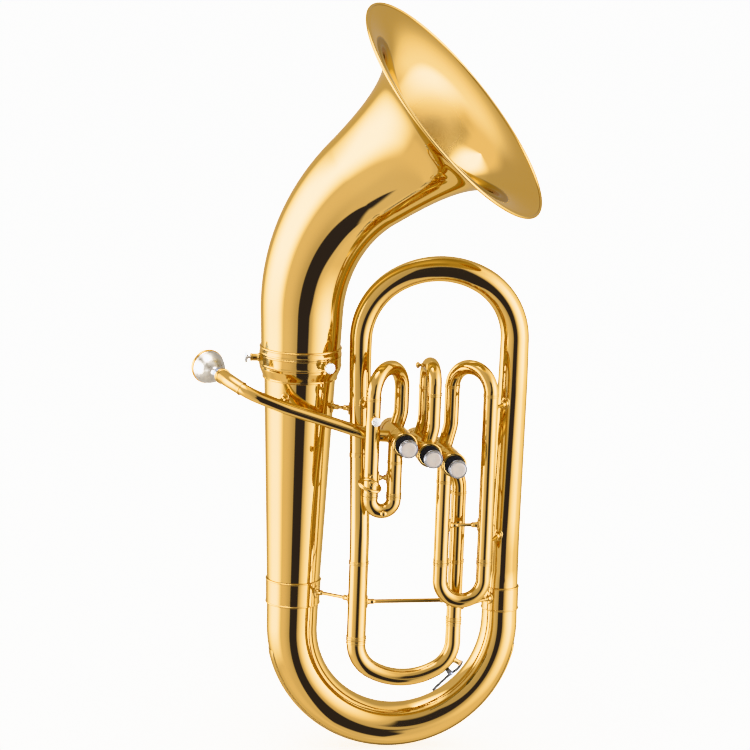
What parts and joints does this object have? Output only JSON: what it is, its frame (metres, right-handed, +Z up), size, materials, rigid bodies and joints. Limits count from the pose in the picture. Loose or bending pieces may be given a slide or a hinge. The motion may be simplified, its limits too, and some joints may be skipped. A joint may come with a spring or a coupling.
{
  "type": "valved low brass horn",
  "caption": "Upright three-valve low brass horn with a bell that leans forward and turns on its receiver, pull-out slides, sprung piston valves, a water key and a separate mouthpiece.",
  "frame": {"origin": "lowest point of the bottom bow's outside, midway between the two outer branches", "axes": "+X to the viewer's right across the horn, -Y to the front that the valve buttons face, +Z up along the outer branches"},
  "size_m": [0.3839, 0.2787, 0.8616],
  "materials": {
    "lacquered_brass": "polished",
    "silver_plate": "polished",
    "nickel": "honed",
    "steel": "satin",
    "pearl": "polished",
    "felt": "matte",
    "cork": "matte"
  },
  "bodies": {
    "horn": {"bottom_bow": "lacquered_brass", "bow_guard": "lacquered_brass", "bow_ferrules": "lacquered_brass", "outer_branch": "lacquered_brass", "bell_receiver": "lacquered_brass", "top_bow": "lacquered_brass", "right_branch": "lacquered_brass", "upper_leg": "lacquered_brass", "feed_tube": "lacquered_brass", "main_slide_receivers": "lacquered_brass", "valve_outlet": "lacquered_brass", "leadpipe": "lacquered_brass", "mouthpiece_receiver": "lacquered_brass", "leadpipe_brace": "lacquered_brass", "branch_braces": "lacquered_brass", "slide_braces": "lacquered_brass", "valve_casing_1": "lacquered_brass", "valve_casing_2": "lacquered_brass", "valve_casing_3": "lacquered_brass", "front_caps": "lacquered_brass", "cap_felts": "felt", "rear_caps": "lacquered_brass", "valve_knuckles": "lacquered_brass", "first_slide_legs": "lacquered_brass", "second_slide_legs": "lacquered_brass", "third_slide_legs": "lacquered_brass", "finger_ring": "lacquered_brass", "lyre_post": "lacquered_brass", "valve_spring_1": "steel", "valve_spring_2": "steel", "valve_spring_3": "steel"},
    "bell": {"bell_flare": "lacquered_brass", "bell_rim_wire": "lacquered_brass", "bell_tenon": "lacquered_brass"},
    "bell_screw_a": {"bell_screw_1": "silver_plate"},
    "bell_screw_b": {"bell_screw_2": "silver_plate"},
    "bell_screw_c": {"bell_screw_3": "silver_plate"},
    "mouthpiece": {"mouthpiece": "silver_plate"},
    "valve_1": {"piston_1": "nickel", "valve_stem_1": "steel", "finger_button_1": "silver_plate", "button_inlay_1": "pearl"},
    "valve_2": {"piston_2": "nickel", "valve_stem_2": "steel", "finger_button_2": "silver_plate", "button_inlay_2": "pearl"},
    "valve_3": {"piston_3": "nickel", "valve_stem_3": "steel", "finger_button_3": "silver_plate", "button_inlay_3": "pearl"},
    "main_slide": {"main_slide_bow": "lacquered_brass", "water_key_saddle": "silver_plate", "water_key_pin": "steel", "water_key_spring": "steel"},
    "water_key": {"water_key_lever": "silver_plate", "water_key_cork": "cork"},
    "first_slide": {"first_slide_bow": "lacquered_brass"},
    "second_slide": {"second_slide_bow": "lacquered_brass"},
    "third_slide": {"third_slide_bow": "lacquered_brass"},
    "lyre_screw": {"lyre_screw": "silver_plate"}
  },
  "joints": [
    {"name": "valve_1_press", "type": "slide", "parent": "horn", "child": "valve_1", "axis": [0, 1, 0], "range_m": [0, 0.0155], "stiffness_N_per_m": 150, "springref_m": -0.02, "deforming": ["valve_spring_1"]},
    {"name": "valve_2_press", "type": "slide", "parent": "horn", "child": "valve_2", "axis": [0, 1, 0], "range_m": [0, 0.0155], "stiffness_N_per_m": 150, "springref_m": -0.02, "deforming": ["valve_spring_2"]},
    {"name": "valve_3_press", "type": "slide", "parent": "horn", "child": "valve_3", "axis": [0, 1, 0], "range_m": [0, 0.0155], "stiffness_N_per_m": 150, "springref_m": -0.02, "deforming": ["valve_spring_3"]},
    {"name": "main_slide_pull", "type": "slide", "parent": "horn", "child": "main_slide", "axis": [0, 0, -1], "range_m": [0, 0.055]},
    {"name": "first_slide_pull", "type": "slide", "parent": "horn", "child": "first_slide", "axis": [0, 0, -1], "range_m": [0, 0.03]},
    {"name": "second_slide_pull", "type": "slide", "parent": "horn", "child": "second_slide", "axis": [0, 0, 1], "range_m": [0, 0.022]},
    {"name": "third_slide_pull", "type": "slide", "parent": "horn", "child": "third_slide", "axis": [0, 0, -1], "range_m": [0, 0.06]},
    {"name": "water_key_hinge", "type": "hinge", "parent": "main_slide", "child": "water_key", "pos_m": [0.05259, -0.0575, 0.10248], "axis": [0, 1, 0], "range_deg": [0, 14], "stiffness_Nm_per_rad": 0.25, "springref_deg": -14.32},
    {"name": "bell_turn", "type": "hinge", "parent": "horn", "child": "bell", "pos_m": [-0.1212, 0, 0.4625], "axis": [0, 0, 1], "range_deg": [-90, 90]},
    {"name": "mouthpiece_pull", "type": "slide", "parent": "horn", "child": "mouthpiece", "axis": [-0.2582, 0.9639, 0.0655], "range_m": [0, 0.02]},
    {"name": "lyre_screw_turn", "type": "slide", "parent": "horn", "child": "lyre_screw", "axis": [0, -1, 0], "range_m": [0, 0.003]},
    {"name": "bell_screw_a_loosen", "type": "slide", "parent": "horn", "child": "bell_screw_a", "axis": [0.3907, -0.9205, 0], "range_m": [0, 0.003]},
    {"name": "bell_screw_b_loosen", "type": "slide", "parent": "horn", "child": "bell_screw_b", "axis": [-0.9925, 0.1219, 0], "range_m": [0, 0.003]},
    {"name": "bell_screw_c_loosen", "type": "slide", "parent": "horn", "child": "bell_screw_c", "axis": [0.6018, 0.7986, 0], "range_m": [0, 0.003]}
  ]
}
